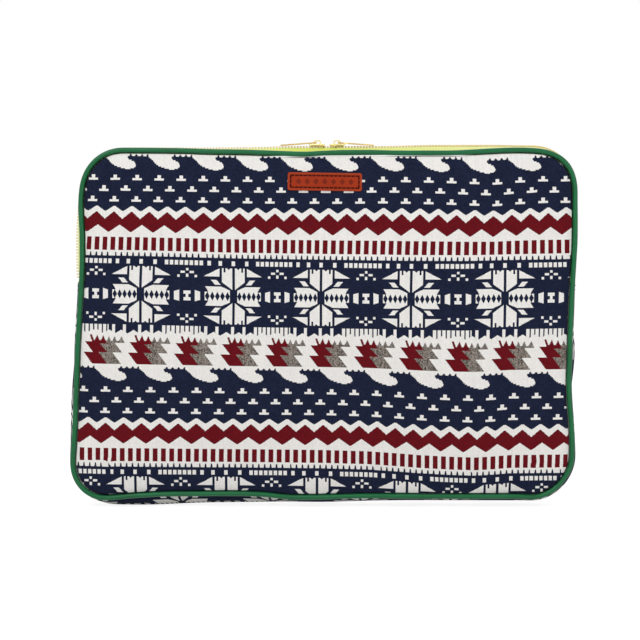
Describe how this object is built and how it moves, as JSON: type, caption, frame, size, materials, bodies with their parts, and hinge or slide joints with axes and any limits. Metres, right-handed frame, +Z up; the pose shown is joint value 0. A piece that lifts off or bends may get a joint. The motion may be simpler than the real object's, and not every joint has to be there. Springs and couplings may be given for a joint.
{
  "type": "laptop sleeve",
  "caption": "Padded zip-up laptop sleeve with rounded corners, corded piping round both panels, a folding front mouth and zip sliders with long pulls.",
  "frame": {"origin": "middle of the flat bottom of the gusset, where the sleeve stands", "axes": "+X along the width, to the right as the front is faced; +Y from the front panel to the back panel; +Z up to the zip"},
  "size_m": [0.352, 0.0317, 0.2501],
  "materials": {
    "woven_cloth": "matt woven cloth, banded pattern in off-white, navy, dark red and grey",
    "padding": "foam padding",
    "lining": "smooth lining cloth",
    "binding_tape": "folded woven tape",
    "piping_cover": "smooth semi-gloss coated cover, green",
    "piping_cord": "twisted cotton cord",
    "zip_tape": "woven zip tape, bright yellow",
    "zip_teeth": "satin, gold tone",
    "zip_metal": "polished, gold tone",
    "label_leather": "matt, rust brown",
    "label_thread": "waxed thread, dark brown"
  },
  "bodies": {
    "sleeve_body": {"front_cloth_lower": "woven_cloth", "front_foam_lower": "padding", "front_lining_lower": "lining", "front_binding_lower": "binding_tape", "front_piping_lower": "piping_cover", "front_piping_cord_lower": "piping_cord", "back_cloth": "woven_cloth", "back_foam": "padding", "back_lining": "lining", "back_binding": "binding_tape", "back_piping": "piping_cover", "back_piping_cord": "piping_cord", "gusset_cloth": "woven_cloth", "gusset_foam": "padding", "gusset_lining": "lining", "zip_tape_back": "zip_tape", "zip_teeth_back": "zip_teeth", "zip_tape_front_ends": "zip_tape", "zip_teeth_front_ends": "zip_teeth", "zip_end_stops": "zip_teeth"},
    "front_flap": {"front_cloth_flap": "woven_cloth", "front_foam_flap": "padding", "front_lining_flap": "lining", "front_binding_flap": "binding_tape", "front_piping_flap": "piping_cover", "front_piping_cord_flap": "piping_cord", "zip_tape_front": "zip_tape", "zip_teeth_front": "zip_teeth", "label": "label_leather", "label_stitches": "label_thread"},
    "left_slider": {"zip_slider_left": "zip_metal"},
    "right_slider": {"zip_slider_right": "zip_metal"},
    "left_pull": {"zip_pull_left": "zip_metal"},
    "right_pull": {"zip_pull_right": "zip_metal"}
  },
  "joints": [
    {"name": "flap_fold", "type": "hinge", "parent": "sleeve_body", "child": "front_flap", "pos_m": [0, -0.015, 0.172], "axis": [1, 0, 0], "range_deg": [0, 75]},
    {"name": "left_slider_travel", "type": "slide", "parent": "sleeve_body", "child": "left_slider", "axis": [-1, 0, 0], "range_m": [0, 0.128]},
    {"name": "right_slider_travel", "type": "slide", "parent": "sleeve_body", "child": "right_slider", "axis": [1, 0, 0], "range_m": [0, 0.128]},
    {"name": "left_pull_swing", "type": "hinge", "parent": "left_slider", "child": "left_pull", "pos_m": [-0.0061, 0, 0.2484], "axis": [0, 1, 0], "range_deg": [0, 110]},
    {"name": "right_pull_swing", "type": "hinge", "parent": "right_slider", "child": "right_pull", "pos_m": [0.0095, 0, 0.2484], "axis": [0, -1, 0], "range_deg": [0, 110]}
  ]
}
